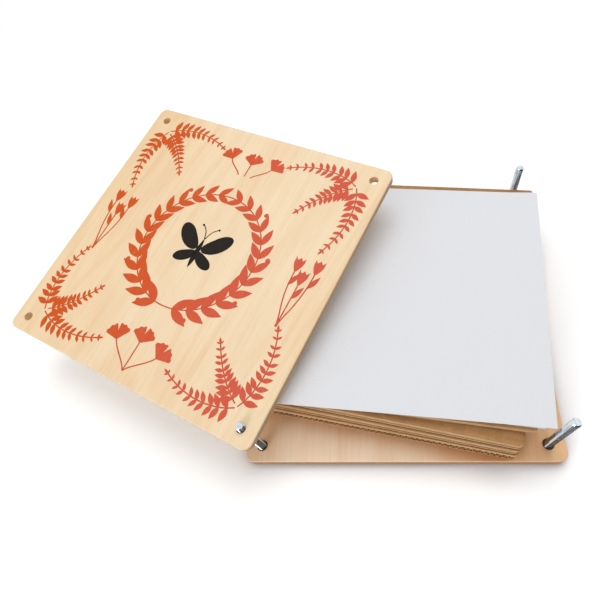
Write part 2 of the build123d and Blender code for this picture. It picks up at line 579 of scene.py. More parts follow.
    def near_bore(self, graph: MaterialGraph, own: Socket) -> Socket:
        """Finds the bolt holes in the board's corners.

        Args:
            graph: The material.
            own: The board's own coordinates.

        Returns:
            1 at the holes, 0 elsewhere.
        """
        away: Feed = 0.0
        for axis in graph.axes(own)[:2]:
            offset = graph.calc("SUBTRACT", graph.calc("ABSOLUTE", axis), self.bore_inset)
            away = graph.calc("MAXIMUM", away, graph.calc("ABSOLUTE", offset))
        return graph.calc("LESS_THAN", away, self.bore_reach)

    def side_share(self, graph: MaterialGraph, place: Matrix) -> Socket:
        """How far a surface faces sideways, out of the board's edge.

        Args:
            graph: The material.
            place: The board's frame.

        Returns:
            1 on the edges, 0 on the faces.
        """
        dot = graph.add("VectorMath", operation="DOT_PRODUCT")
        graph.feed(dot.inputs[0], graph.add("TexCoord").outputs["Normal"])
        dot.inputs[1].default_value = place.to_3x3().col[2]
        return graph.span(graph.calc("ABSOLUTE", dot.outputs["Value"]), *self.edge_band, 1.0, 0.0)


@dataclass(frozen=True)
class KraftCard:
    """Brown fluted card: fibres and flecks, with the flutes showing faintly through the liners."""

    name: str
    pale: Triple
    dark: Triple
    fleck: Triple
    flute_pitch: float
    cloud: Pattern = Pattern((38.0, 38.0, 90.0), 3.0, band=(0.3, 0.7), weight=0.3)
    mottle: Pattern = Pattern((210.0, 210.0, 210.0), 2.0, 0.5, band=(0.35, 0.65), weight=0.3)
    fibre: Pattern = Pattern((700.0, 1100.0, 1800.0), 4.0, band=(0.3, 0.7), weight=0.35)
    flecks: Pattern = Pattern((430.0, 620.0, 900.0), 1.0, band=(0.68, 0.78), weight=0.5)
    wave_weight: float = 0.07
    wave_relief: float = 0.5
    roughness: Flat = (0.78, 0.92)
    specular: float = 0.2
    relief: Flat = (0.00012, 0.4)

    def material(self, turn_deg: float) -> Material:
        """Builds the finish for cards that lie at one turn.

        Args:
            turn_deg: Heading of the axis across the flutes.

        Returns:
            The material.
        """
        graph = MaterialGraph(f"{self.name}_{round(turn_deg)}")
        own = graph.own_axes(Matrix.Rotation(math.radians(turn_deg), 4, "Z"))
        cloud = graph.patches(own, self.cloud)
        fibre = graph.noise(own, self.fibre)
        phase = graph.calc("MULTIPLY", graph.axes(own)[0], 2 * math.pi / self.flute_pitch)
        wave = graph.calc("SINE", phase)
        shade = graph.weighted(
            (wave, self.wave_weight),
            (cloud, self.cloud.weight),
            (graph.patches(own, self.mottle), self.mottle.weight),
            (graph.span(fibre, *self.fibre.band), self.fibre.weight),
        )
        colour = graph.mix(shade, self.pale, self.dark)
        flecks = graph.calc("MULTIPLY", graph.patches(own, self.flecks), self.flecks.weight)
        graph.set(
            Base_Color=graph.mix(flecks, colour, self.fleck),
            Roughness=graph.span(cloud, 0.0, 1.0, *self.roughness),
            Specular_IOR_Level=self.specular,
        )
        height = graph.calc("ADD", fibre, graph.calc("MULTIPLY", wave, self.wave_relief))
        graph.bump(height, *self.relief)
        return graph.material


@dataclass(frozen=True)
class BlottingPaper:
    """Matt blotting paper, a little fibrous."""

    name: str
    bright: Triple
    grey: Triple
    fibre: Pattern = Pattern((900.0, 900.0, 900.0), 4.0, 0.6, band=(0.3, 0.7), weight=0.55)
    cloud: Pattern = Pattern((45.0, 45.0, 45.0), 3.0, weight=0.4)
    rub_band: Flat = (0.2, 0.8)
    roughness: Flat = (0.84, 0.95)
    specular: float = 0.25
    relief: Flat = (0.00003, 0.2)

    def material(self) -> Material:
        """Builds the finish.

        Returns:
            The material.
        """
        graph = MaterialGraph(self.name)
        own = graph.own_axes(Matrix.Identity(4))
        fibre = graph.noise(own, self.fibre)
        shade = graph.weighted(
            (graph.span(fibre, *self.fibre.band), self.fibre.weight),
            (graph.noise(own, self.cloud), self.cloud.weight),
        )
        graph.set(
            Base_Color=graph.mix(shade, self.bright, self.grey),
            Roughness=graph.span(fibre, *self.rub_band, *self.roughness),
            Specular_IOR_Level=self.specular,
        )
        graph.bump(fibre, *self.relief)
        return graph.material


@dataclass(frozen=True)
class PlatedSteel:
    """Bright zinc-plated steel with a slightly uneven polish."""

    name: str
    tint: Triple
    dull: Triple
    roughness: Flat
    cloud: Pattern = Pattern((600.0, 600.0, 90.0), 3.0, 0.5, weight=0.7)
    rub: Pattern = Pattern((2600.0, 2600.0, 500.0), weight=0.3)
    wear_band: Flat = (0.35, 0.68)
    relief: Flat = (0.00001, 0.25)

    def material(self) -> Material:
        """Builds the finish.

        Returns:
            The material.
        """
        graph = MaterialGraph(self.name)
        own = graph.own_axes(Matrix.Identity(4))
        cloud = graph.noise(own, self.cloud)
        rub = graph.noise(own, self.rub)
        worn = graph.weighted((cloud, self.cloud.weight), (rub, self.rub.weight))
        wear = graph.span(worn, *self.wear_band)
        graph.set(
            Base_Color=graph.mix(wear, self.tint, self.dull),
            Roughness=graph.span(wear, 0.0, 1.0, *self.roughness),
            Metallic=1.0,
        )
        graph.bump(rub, *self.relief)
        return graph.material


@dataclass(frozen=True)
class PrintInk:
    """Screen-print ink on wood, blended from one side of the board to the other."""

    name: str
    start: Triple
    end: Triple
    reach: float
    wear: float
    wood: Triple = (0.87, 0.62, 0.4)
    thin: Pattern = Pattern((500.0, 300.0, 500.0), 3.0, band=(0.55, 0.8))
    fibre_band: Flat = (0.45, 0.8)
    rub_band: Flat = (0.2, 0.8)
    roughness: Flat = (0.5, 0.65)
    specular: float = 0.12
    relief: Flat = (0.00003, 0.25)

    def material(self, place: Matrix) -> Material:
        """Builds the ink for one board.

        Args:
            place: The board's frame.

        Returns:
            The material.
        """
        graph = MaterialGraph(self.name)
        own = graph.own_axes(place)
        across = graph.span(graph.axes(own)[0], -self.reach, self.reach)
        colour = graph.mix(across, self.start, self.end)
        fibre = graph.noise(own, WOOD_FIBRE)
        worn = graph.calc("ADD", graph.span(fibre, *self.fibre_band), graph.patches(own, self.thin))
        graph.set(
            Base_Color=graph.mix(graph.calc("MULTIPLY", worn, self.wear), colour, self.wood),
            Roughness=graph.span(fibre, *self.rub_band, *self.roughness),
            Specular_IOR_Level=self.specular,
        )
        graph.bump(fibre, *self.relief)
        return graph.material


@dataclass(frozen=True)
class BoardFrame:
    """A board's own axes: origin in the middle of its underside, Z out of its upper face."""

    place: Matrix
    thickness: float

    @classmethod
    def of_node(cls, node: str, turn_deg: float) -> "BoardFrame":
        """Reads a board's frame from its CAD node.

        Args:
            node: The CAD node.
            turn_deg: Heading of the board's X axis, seen from above.

        Returns:
            The board's frame.
        """
        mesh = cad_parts[node].data
        upper = max((f for f in mesh.polygons if f.normal.z > FACING), key=lambda f: f.area)
        normal = upper.normal.normalized()
        turn = math.radians(turn_deg)
        along = Vector((math.cos(turn), math.sin(turn), 0.0))
        along = (along - along.dot(normal) * normal).normalized()
        axes = (along, normal.cross(along), normal)
        spans = [[axis.dot(v.co) for v in mesh.vertices] for axis in axes]
        low = [min(s) for s in spans]
        high = [max(s) for s in spans]
        foot = ((low[0] + high[0]) / 2, (low[1] + high[1]) / 2, low[2])
        place = Matrix(axes).transposed().to_4x4()
        place.translation = sum((axis * reach for axis, reach in zip(axes, foot)), Vector())
        return cls(place, high[2] - low[2])


@dataclass
class Boards:
    """The two plywood boards, dressed as they come from CAD."""

    cover_turn_deg: float = -26.3

    def build(self) -> BoardFrame:
        """Dresses both boards.

        Returns:
            The cover's frame.
        """
        base = BoardFrame.of_node("base_board", 0.0)
        cover = BoardFrame.of_node("cover_board", self.cover_turn_deg)
        base_wood = BirchPlywood(
            name="base_plywood",
            pale=(0.97, 0.79, 0.6),
            dark=(0.89, 0.645, 0.435),
            edge_pale=(0.72, 0.48, 0.29),
            edge_dark=(0.57, 0.36, 0.195),
            glue=(0.36, 0.21, 0.11),
            # The warm tint away from the pale middle stripe is partly heartwood and partly painted shade;
            # the corner tint and the hole-wall colour are painted shade.
            heartwood_and_shade=(0.9, 0.72, 0.53),
            pale_stripe_x=-0.026,
            pale_stripe_reach=(0.028, 0.085),
            painted_corner_shade=(0.7, 0.36, 0.12),
            bore_wall_light_and_shade=(0.36, 0.21, 0.11),
            thickness=base.thickness,
        )
        cover_wood = BirchPlywood(
            name="cover_plywood",
            pale=(0.93, 0.745, 0.51),
            dark=(0.85, 0.61, 0.37),
            edge_pale=(0.66, 0.44, 0.265),
            edge_dark=(0.5, 0.31, 0.165),
            glue=(0.3, 0.175, 0.09),
            # The faint warm tint is partly heartwood and partly painted shade; the faint corner tint is
            # painted shade, and the paler hole-wall colour is painted light.
            heartwood_and_shade=(0.98, 0.93, 0.85),
            pale_stripe_x=0.025,
            pale_stripe_reach=(0.03, 0.12),
            painted_corner_shade=(1.0, 0.96, 0.9),
            bore_wall_light_and_shade=(0.77, 0.53, 0.31),
            thickness=cover.thickness,
        )
        dress_node("base_board", base_wood.material(base.place))
        dress_node("cover_board", cover_wood.material(cover.place))
        return cover


@dataclass
class ThreadedBolts:
    """The four bolts, with the thread and the driven head that their CAD shafts stand for."""

    steel: PlatedSteel = PlatedSteel("bolt_steel", (0.77, 0.83, 0.89), (0.48, 0.54, 0.6), (0.07, 0.13))
    inset: float = 0.0805
    corner_turn_deg: float = 67.0
    crest_r: float = 0.0024
    root_r: float = 0.00202
    pitch: float = 0.0008
    flank_share: float = 0.3
    flat_share: float = 0.2
    tip_z: float = 0.0503
    chamfer: float = 0.0006
    head_r: float = 0.0047
    head_z: float = 0.0003
    head_rim: float = 0.0004
    head_overlap: float = 0.0002
    head_sides: int = 48
    slot_length: float = 0.0052
    slot_width: float = 0.0011
    slot_depth: float = 0.0014
    steps: int = 20
    smooth_deg: float = 38.0

    def build(self) -> None:
        """Models one bolt and puts a copy in each corner."""
        steel = self.steel.material()
        model = joined([self.thread(), self.head()], "bolt_model")
        smooth(model, self.smooth_deg)
        corners = {
            "front_left": (-1, -1, "swivel_bolt"),
            "front_right": (1, -1, "base"),
            "back_left": (-1, 1, "prop_bolt"),
            "back_right": (1, 1, "base"),
        }
        for number, (corner, (side, row, body)) in enumerate(corners.items()):
            place = Matrix.Translation((side * self.inset, row * self.inset, 0.0))
            place = place @ Matrix.Rotation(number * math.radians(self.corner_turn_deg), 4, "Z")
            bolt = copy_of(model, f"threaded_bolt_{corner}", place)
            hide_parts(f"bolt_{corner}")
            dress(bolt, steel)
            mount(bolt, body)
        bpy.data.objects.remove(model)

    def thread(self) -> Piece:
        """Winds one tooth of the thread up the bolt, cuts it level and rounds off its tip.

        Returns:
            The threaded shank on the Z axis.
        """
        foot_z = self.head_z + self.head_rim + self.head_r - self.crest_r - self.head_overlap
        turns = math.ceil((self.tip_z - foot_z) / self.pitch) + 2
        deselect_all()
        bpy.ops.mesh.primitive_plane_add(size=self.pitch)
        shank = bpy.context.object
        edit(shank, "SELECT")
        bpy.ops.mesh.merge(type="CENTER")
        bpy.ops.transform.translate(value=(self.root_r, 0.0, foot_z - self.pitch))
        depth = self.crest_r - self.root_r
        for out in (depth, -depth):
            extrude(out, 0.0, self.flank_share * self.pitch)
            extrude(0.0, 0.0, self.flat_share * self.pitch)
        leave_edit()
        screw = shank.modifiers.new("thread", "SCREW")
        screw.axis = "Z"
        screw.angle = 2 * math.pi
        screw.screw_offset = self.pitch
        screw.iterations = turns
        screw.steps = self.steps
        screw.render_steps = self.steps
        screw.use_merge_vertices = True
        screw.merge_threshold = CLOSE
        apply_modifiers(shank)
        self.cut_level(shank, foot_z, clear_above=False)
        self.cut_level(shank, self.tip_z, clear_above=True)
        for vertex in shank.data.vertices:
            reach = math.hypot(vertex.co.x, vertex.co.y)
            limit = self.crest_r - max(0.0, vertex.co.z - self.tip_z + self.chamfer)
            if reach > limit:
                vertex.co.x *= limit / reach
                vertex.co.y *= limit / reach
        close_up(shank)
        return shank

    def cut_level(self, shank: Piece, z: float, clear_above: bool) -> None:
        """Cuts the shank level and closes the cut.

        Args:
            shank: The threaded shank.
            z: Height of the cut.
            clear_above: Whether the part above the cut goes, and not the part below.
        """
        edit(shank, "SELECT")
        bpy.ops.mesh.bisect(
            plane_co=(0.0, 0.0, z),
            plane_no=(0.0, 0.0, 1.0),
            use_fill=True,
            threshold=CLOSE,
            clear_inner=not clear_above,
            clear_outer=clear_above,
        )
        leave_edit()

    def head(self) -> Piece:
        """Models the countersunk head with its cross slot.

        Returns:
            The head on the Z axis.
        """
        cone_h = self.head_r - self.crest_r
        rim_z = self.head_z + self.head_rim
        deselect_all()
        bpy.ops.mesh.primitive_cone_add(
            vertices=self.head_sides,
            radius1=self.head_r,
            radius2=self.crest_r,
            depth=cone_h,
            location=(0.0, 0.0, rim_z + cone_h / 2),
        )
        head = bpy.context.object
        settle(head)
        lowest = min(head.data.polygons, key=lambda f: f.center.z)
        extrude_faces(head, [lowest.index], -self.head_rim)
        for turn in (0.0, math.pi / 2):
            deselect_all()
            bpy.ops.mesh.primitive_cube_add(
                size=1.0, location=(0.0, 0.0, self.head_z), rotation=(0.0, 0.0, turn)
            )
            cutter = bpy.context.object
            cutter.scale = (self.slot_length, self.slot_width, 2 * self.slot_depth)
            settle(cutter)
            cut = head.modifiers.new("slot", "BOOLEAN")
            cut.operation = "DIFFERENCE"
            cut.object = cutter
            apply_modifiers(head)
            bpy.data.objects.remove(cutter)
        return head


@dataclass
class WingNuts:
    """The four wing nuts, dressed as they come from CAD."""

    steel: PlatedSteel = PlatedSteel("wing_nut_steel", (0.62, 0.63, 0.65), (0.44, 0.45, 0.47), (0.2, 0.36))
    corners: tuple[str, ...] = ("front_left", "front_right", "back_left", "back_right")

    def build(self) -> None:
        """Dresses the nuts in plated steel."""
        steel = self.steel.material()
        for corner in self.corners:
            dress_node(f"wing_nut_{corner}", steel)


class CardLay(Enum):
    """How a card lies in the pile: flutes towards the front, across, or across and turned over."""

    FRONT = "front"
    CROSSED = "crossed"
    TURNED_OVER = "turned over"


@dataclass
class FlutedCards:
    """The fluted cards, with the rounded waves that their CAD walls stand for."""

    side: float = 0.1554
    upper_width: float = 0.1572
    thickness: float = 0.0041
    liner: float = 0.0004
    wall: float = 0.0004
    pitch: float = 0.0031
    steps: int = 10
    corner_r: float = 0.0022
    corner_steps: int = 5
    crush: float = 0.00038
    crush_reach: float = 0.0016
    cut_slant: float = 0.0006
    smooth_deg: float = 40.0
    square_facing: float = 0.9
    pile_turn_deg: float = -11.6
    twist_deg: float = -0.12
    upper_turn_deg: float = -8.6
    upper_card: int = 7
    lays: tuple[CardLay, ...] = (
        CardLay.FRONT,
        CardLay.CROSSED,
        CardLay.TURNED_OVER,
        CardLay.CROSSED,
        CardLay.TURNED_OVER,
        CardLay.CROSSED,
        CardLay.CROSSED,
    )
    blanks: list[Material] = field(default_factory=list)

    def papers(self) -> list[KraftCard]:
        """The papers of a card.

        Returns:
            The liner's, the fluting's, darkened as painted shade, and the cut edge's, lightened as painted
            light, in the order of a card's material slots.
        """
        tones = {
            "kraft_liner": ((0.5, 0.27, 0.112), (0.35, 0.178, 0.068), (0.22, 0.12, 0.058)),
            # Darker paper, darkened further as painted shade for the hollows between the liners.
            "kraft_fluting_painted_shade": ((0.31, 0.15, 0.052), (0.21, 0.096, 0.032), (0.12, 0.06, 0.025)),
            # Paler paper as painted light on the cards' front-facing cut edges.
            "kraft_cut_edge_painted_light": ((0.74, 0.47, 0.25), (0.56, 0.33, 0.16), (0.36, 0.2, 0.09)),
        }
        return [KraftCard(name, *tone, self.pitch) for name, tone in tones.items()]

    def build(self) -> None:
        """Models the cards and lays one in the place of each CAD card."""
        papers = self.papers()
        self.blanks = [bpy.data.materials.new(f"{paper.name}_blank") for paper in papers]
        lowest = self.model(self.side, 0.0, self.cut_slant)
        crossed = self.model(self.side, self.crush, 0.0)
        longer = self.model(self.upper_width, self.crush, 0.0)
        for number, lay in enumerate(self.lays, start=1):
            upper = number == self.upper_card
            model = longer if upper else lowest if lay is CardLay.FRONT else crossed
            turn = self.upper_turn_deg if upper else self.pile_turn_deg + (number - 1) * self.twist_deg
            if lay is not CardLay.FRONT:
                turn += 90.0
            low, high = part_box(f"corrugated_card_{number}")
            place = Matrix.Translation(((low[0] + high[0]) / 2, (low[1] + high[1]) / 2, low[2]))
            place = place @ Matrix.Rotation(math.radians(turn), 4, "Z")
            if lay is CardLay.TURNED_OVER:
                place = place @ Matrix.Translation((0.0, 0.0, self.thickness))
                place = place @ Matrix.Rotation(math.pi, 4, "Y")
            card = copy_of(model, f"fluted_card_{number}", place)
            for slot, paper in enumerate(papers):
                card.data.materials[slot] = paper.material(turn)
            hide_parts(f"corrugated_card_{number}")
            mount(card, "upper_card" if upper else "card_pile")
        for model in (lowest, crossed, longer):
            bpy.data.objects.remove(model)
        for blank in self.blanks:
            bpy.data.materials.remove(blank)

    def model(self, width: float, crush: float, slant: float) -> Piece:
        """Models a card: two liners and the fluting between them.

        Args:
            width: Its size across the flutes.
            crush: How far both of its faces are pressed in along the edges.
            slant: How far the cut through its flutes leans back at the top.

        Returns:
            The card, with its flutes along Y.
        """
        top = self.thickness - self.liner
        sheets = [self.face(0.0, 1, width), self.face(top, -1, width), self.wave(width)]
        card = joined(sheets, "card_model")
        middle = self.thickness / 2
        for vertex in card.data.vertices:
            x, y, z = vertex.co
            inside = min(width / 2 - abs(x), self.side / 2 - abs(y))
            share = max(0.0, 1.0 - inside / self.crush_reach) ** 2
            vertex.co.z = middle + (z - middle) * (1.0 - share * crush / middle)
            if y < self.corner_r - self.side / 2:
                vertex.co.y = y + slant * z / self.thickness
        return card

    def line(self, sheet: Piece, inner: Sequence[int], cut: Sequence[int]) -> None:
        """Gives a sheet its papers: the fluting's, darkened as painted shade, inside the card, the cut
        edge's, lightened as painted light, along the cut edges, else the liner's.

        Args:
            sheet: The liner or the fluting.
            inner: Numbers of its faces inside the card.
            cut: Numbers of its faces along the card's cut edges.
        """
        for blank in self.blanks:
            sheet.data.materials.append(blank)
        for slot, numbers in ((1, inner), (2, cut)):
            for number in numbers:
                sheet.data.polygons[number].material_index = slot

    def face(self, z: float, inwards: int, width: float) -> Piece:
        """Models one liner: a sheet with worn, rounded corners.

        Args:
            z: Height of its underside.
            inwards: 1 if the flutes are above it, -1 if they are below.
            width: Its size across the flutes.

        Returns:
            The liner, in its papers.
        """
        deselect_all()
        bpy.ops.mesh.primitive_plane_add(size=self.side, location=(0.0, 0.0, z))
        sheet = bpy.context.object
        sheet.scale.x = width / self.side
        settle(sheet)
        edit(sheet, "SELECT")
        bpy.ops.mesh.bevel(affect="VERTICES", offset=self.corner_r, segments=self.corner_steps)
        for _ in range(2):
            bpy.ops.mesh.select_all(action="DESELECT")
            bpy.ops.mesh.select_face_by_sides(number=4 * self.corner_steps, type="GREATER")
            bpy.ops.mesh.inset(thickness=self.crush_reach / 2)
        bpy.ops.mesh.select_all(action="SELECT")
        extrude(0.0, 0.0, self.liner)
        leave_edit()
        close_up(sheet)
        faces = sheet.data.polygons
        # The liners' inner faces take the fluting's painted shade, and their cut sides the cut edge's
        # painted light.
        inner = [f.index for f in faces if f.normal.z * inwards > self.square_facing]
        self.line(sheet, inner, [f.index for f in faces if abs(f.normal.z) < FACING])
        return sheet

    def wave(self, width: float) -> Piece:
        """Models the fluting: a sheet that runs in waves from one liner to the other.

        Args:
            width: Its size across the flutes.

        Returns:
            The fluting, in its papers.
        """
        flutes = round(width / self.pitch)
        half = width / 2
        edge = self.side / 2
        lip = self.crush_reach / 2
        lines = (-edge, lip - edge, 2 * lip - edge, edge - 2 * lip, edge - lip, edge)
        deselect_all()
        bpy.ops.mesh.primitive_grid_add(
            x_subdivisions=flutes * self.steps, y_subdivisions=len(lines) - 1, size=self.side
        )
        sheet = bpy.context.object
        sheet.scale.x = width / self.side
        settle(sheet)
        rows = sorted({round(v.co.y, 6) for v in sheet.data.vertices})
        spread = dict(zip(rows, lines))
        reach = (self.thickness - self.wall) / 2 - self.liner
        for vertex in sheet.data.vertices:
            x, y, _ = vertex.co
            y = spread[round(y, 6)]
            vertex.co.z = self.thickness / 2 - reach * math.cos(2 * math.pi * (x + half) * flutes / width)
            into_corner = max(0.0, abs(x) - half + self.corner_r)
            limit = edge - self.corner_r + math.sqrt(max(0.0, self.corner_r**2 - into_corner**2))
            vertex.co.y = math.copysign(min(abs(y), limit), y)
        thick = sheet.modifiers.new("paper", "SOLIDIFY")
        thick.thickness = self.wall
        thick.offset = 0.0
        apply_modifiers(sheet)
        close_up(sheet)
        smooth(sheet, self.smooth_deg)
        outer = half - self.pitch / 2
        faces = sheet.data.polygons
        # The whole fluting takes its painted shade, and its outer half flutes and cut ends the cut edge's
        # painted light.
        cut = [f.index for f in faces if abs(f.center.x) > outer or abs(f.normal.y) > self.square_facing]
        self.line(sheet, [f.index for f in faces], cut)
        return sheet


@dataclass
class BlottingSheets:
    """The blotting sheets, dressed as they come from CAD."""

    white: BlottingPaper = BlottingPaper("blotting_paper", (0.815, 0.82, 0.848), (0.775, 0.78, 0.81))
    yellowed: BlottingPaper = BlottingPaper("blotting_paper_used", (0.6, 0.39, 0.2), (0.48, 0.295, 0.14))
    fresh: tuple[str, ...] = ("blotting_sheets_upper", "blotting_sheet_top")
    used: tuple[str, ...] = ("blotting_sheets_lower", "blotting_sheets_middle")

    def build(self) -> None:
        """Dresses every stack of sheets."""
        for stacks, paper in ((self.fresh, self.white), (self.used, self.yellowed)):
            material = paper.material()
            for stack in stacks:
                dress_node(stack, material)


class Motif(Enum):
    """The shapes that the cover's print is stamped from, each of unit length along +Y."""

    LEAF = "leaf"
    BERRY = "berry"
    FAN = "fan"
    BELL = "bell"
    WING = "wing"


def spot(x: float, y: float) -> Vector:
    """A point on the board's face."""
    return Vector((x, y, 0.0))


@dataclass(frozen=True)
class Sprig:
    """A curved stem on the cover, as a Bezier curve in millimetres."""

    start: Flat
    lean_start: Flat
    lean_end: Flat
    end: Flat

    def knots(self) -> tuple[Flat, ...]:
        """The curve's ends and handles, in order."""
        return (self.start, self.lean_start, self.lean_end, self.end)

    def points(self, count: int) -> list[tuple[Vector, float]]:
        """Points along the stem.

        Args:
            count: How many points.

        Returns:
            Each point with the stem's heading there, as the turn from +Y.
        """
        fine = interpolate_bezier(*(spot(*knot) for knot in self.knots()), 4 * count + 1)
        found = []
        for i in range(count):
            k = round(i * (len(fine) - 1) / max(1, count - 1))
            way = fine[min(k + 1, len(fine) - 1)] - fine[max(k - 1, 0)]
            found.append((fine[k], math.atan2(-way.x, way.y)))
        return found

    def mirrored(self, side: int, row: int) -> "Sprig":
        """The stem with its X turned over where side is -1, and its Y where row is -1."""
        return Sprig(*((side * x, row * y) for x, y in self.knots()))


@dataclass
class PrintPlate:
    """A flat print in the making: stamped shapes and stems, in millimetres on the board's face."""

    name: str
    shapes: dict[Motif, Piece] = field(default_factory=dict)
    stamped: list[Piece] = field(default_factory=list)
    film: float = 0.03
    stem_film: float = 0.08
    stem_rounding: int = 1
    stem_steps: int = 16
    levels: int = 7
    level_step: float = 0.005
    merge: float = 1e-5
    lift_m: float = 0.00001
    leaf_steps: int = 12
    leaf_half: float = 0.17
    leaf_taper: float = 0.85
    berry_sides: int = 18
    fan_steps: int = 36
    fan_half_deg: float = 62.0
    fan_notch: float = 0.42
    fan_notch_reach: float = 0.07
    fan_scallop: float = 0.035
    fan_scallops: float = 17.0
    fan_foot: float = 0.02
    bell_steps: int = 10
    bell_foot: float = 0.06
    bell_flare: float = 0.3
    bell_curve: float = 1.9
    bell_rim: float = 0.86
    bell_crown: tuple[Flat, ...] = ((0.38, 1.0), (0.17, 0.78), (0.0, 0.98), (-0.17, 0.78), (-0.38, 1.0))
    wing_rim: tuple[Flat, ...] = (
        (0.0, 0.0),
        (0.16, -0.04),
        (0.4, 0.2),
        (0.52, 0.62),
        (0.46, 0.95),
        (0.3, 1.0),
        (0.12, 0.8),
        (0.03, 0.45),
        (-0.02, 0.18),
    )
    corner_shares: Flat = (0.25, 0.75)

    def outline(self, motif: Motif) -> list[Flat]:
        """The outline of a shape of unit length.

        Args:
            motif: The shape.

        Returns:
            Its outline, counter-clockwise.
        """
        if motif is Motif.LEAF:
            rise = [i / self.leaf_steps for i in range(self.leaf_steps + 1)]
            half = [self.leaf_half * math.sin(math.pi * y**self.leaf_taper) for y in rise]
            right = list(zip(half, rise))
            return right + [(-x, y) for x, y in reversed(right[1:-1])]
        if motif is Motif.BERRY:
            turns = [2 * i * math.pi / self.berry_sides for i in range(self.berry_sides)]
            return [(0.5 * math.cos(a), 0.5 * math.sin(a)) for a in turns]
        if motif is Motif.FAN:
            rim = []
            for i in range(self.fan_steps + 1):
                turn = math.radians(self.fan_half_deg - i * 2 * self.fan_half_deg / self.fan_steps)
                notch = self.fan_notch * math.exp(-((turn / self.fan_notch_reach) ** 2))
                reach = 1.0 - self.fan_scallop * math.cos(turn * self.fan_scallops) - notch
                rim.append((math.sin(turn) * reach, math.cos(turn) * reach))
            return [(self.fan_foot, 0.0), *rim, (-self.fan_foot, 0.0)]
        if motif is Motif.BELL:
            rise = [i / self.bell_steps for i in range(self.bell_steps + 1)]
            half = [self.bell_foot + self.bell_flare * math.sin(self.bell_curve * y) for y in rise]
            right = [(x, self.bell_rim * y) for x, y in zip(half, rise)]
            return [*right, *self.bell_crown, *((-x, y) for x, y in reversed(right))]
        return self.rounded([*self.wing_rim])

    def rounded(self, rim: list[Flat], rounds: int = 2) -> list[Flat]:
        """Cuts the corners of an outline until it runs smoothly.

        Args:
            rim: The outline.
            rounds: How often its corners are cut.

        Returns:
            The rounded outline.
        """
        for _ in range(rounds):
            cut = []
            for a, b in zip(rim, rim[1:] + rim[:1]):
                for share in self.corner_shares:
                    cut.append((a[0] + (b[0] - a[0]) * share, a[1] + (b[1] - a[1]) * share))
            rim = cut
        return rim

    def shape(self, motif: Motif) -> Piece:
        """Models a shape once, as a filled ring of points.

        Args:
            motif: The shape.

        Returns:
            The modelled shape, to be copied.
        """
        if motif not in self.shapes:
            rim = self.outline(motif)
            deselect_all()
            bpy.ops.mesh.primitive_circle_add(vertices=len(rim), fill_type="NGON")
            made = bpy.context.object
            for vertex, point in zip(made.data.vertices, rim):
                vertex.co = spot(*point)
            self.shapes[motif] = made
        return self.shapes[motif]

    def stamp(self, motif: Motif, at: Vector, turn: float, size: Flat) -> None:
        """Stamps a shape.

        Args:
            motif: The shape.
            at: Where its foot goes.
            turn: Its turn from +Y, in radians.
            size: Its scale across and along.
        """
        level = Vector((0.0, 0.0, len(self.stamped) % self.levels * self.level_step))
        place = Matrix.Translation(at + level) @ Matrix.Rotation(turn, 4, "Z")
        place = place @ Matrix.Diagonal((*size, 1.0, 1.0))
        self.stamped.append(copy_of(self.shape(motif), motif.value, place))

    def stem(self, sprig: Sprig, width: float) -> None:
        """Draws a stem as a flattened round line.

        Args:
            sprig: Its curve.
            width: Its width.
        """
        deselect_all()
        bpy.ops.curve.primitive_bezier_curve_add()
        line = bpy.context.object
        first, last = line.data.splines[0].bezier_points
        for point in (first, last):
            point.handle_left_type = "FREE"
            point.handle_right_type = "FREE"
        start, lean_start, lean_end, end = (spot(*knot) for knot in sprig.knots())
        first.co = first.handle_left = start
        first.handle_right = lean_start
        last.handle_left = lean_end
        last.co = last.handle_right = end
        self.flatten(line, width)

    def ring(self, radius: float, width: float) -> None:
        """Draws a round stem about the board's middle.

        Args:
            radius: Radius of the ring.
            width: Width of its line.
        """
        deselect_all()
        bpy.ops.curve.primitive_bezier_circle_add(radius=radius)
        self.flatten(bpy.context.object, width)

    def flatten(self, line: Piece, width: float) -> None:
        """Turns a curve into a thin flat line of ink.

        Args:
            line: The curve.
            width: Width of the line.
        """
        line.data.bevel_depth = width / 2
        line.data.bevel_resolution = self.stem_rounding
        line.data.resolution_u = self.stem_steps
        line.data.use_fill_caps = True
        pick(line)
        bpy.ops.object.convert(target="MESH")
        line.scale = (1.0, 1.0, self.stem_film / width)
        settle(line)
        line.data.transform(Matrix.Translation((0.0, 0.0, self.stem_film / 2)))
        self.stamped.append(line)

    def pull(self, board: BoardFrame) -> Piece:
        """Joins the print, gives its ink a thickness and lays it on the board.

        Args:
            board: The board's frame.

        Returns:
            The printed piece.
        """
        piece = joined(self.stamped, self.name)
        for shape in self.shapes.values():
            bpy.data.objects.remove(shape)
        flats = [f.index for f in piece.data.polygons if len(f.vertices) > 4]
        extrude_faces(piece, flats, self.film)
        close_up(piece, self.merge)
        millimetre = Matrix.Scale(0.001, 4)
        face_up = Matrix.Translation((0.0, 0.0, board.thickness + self.lift_m))
        piece.data.transform(board.place @ face_up @ millimetre)
        return piece


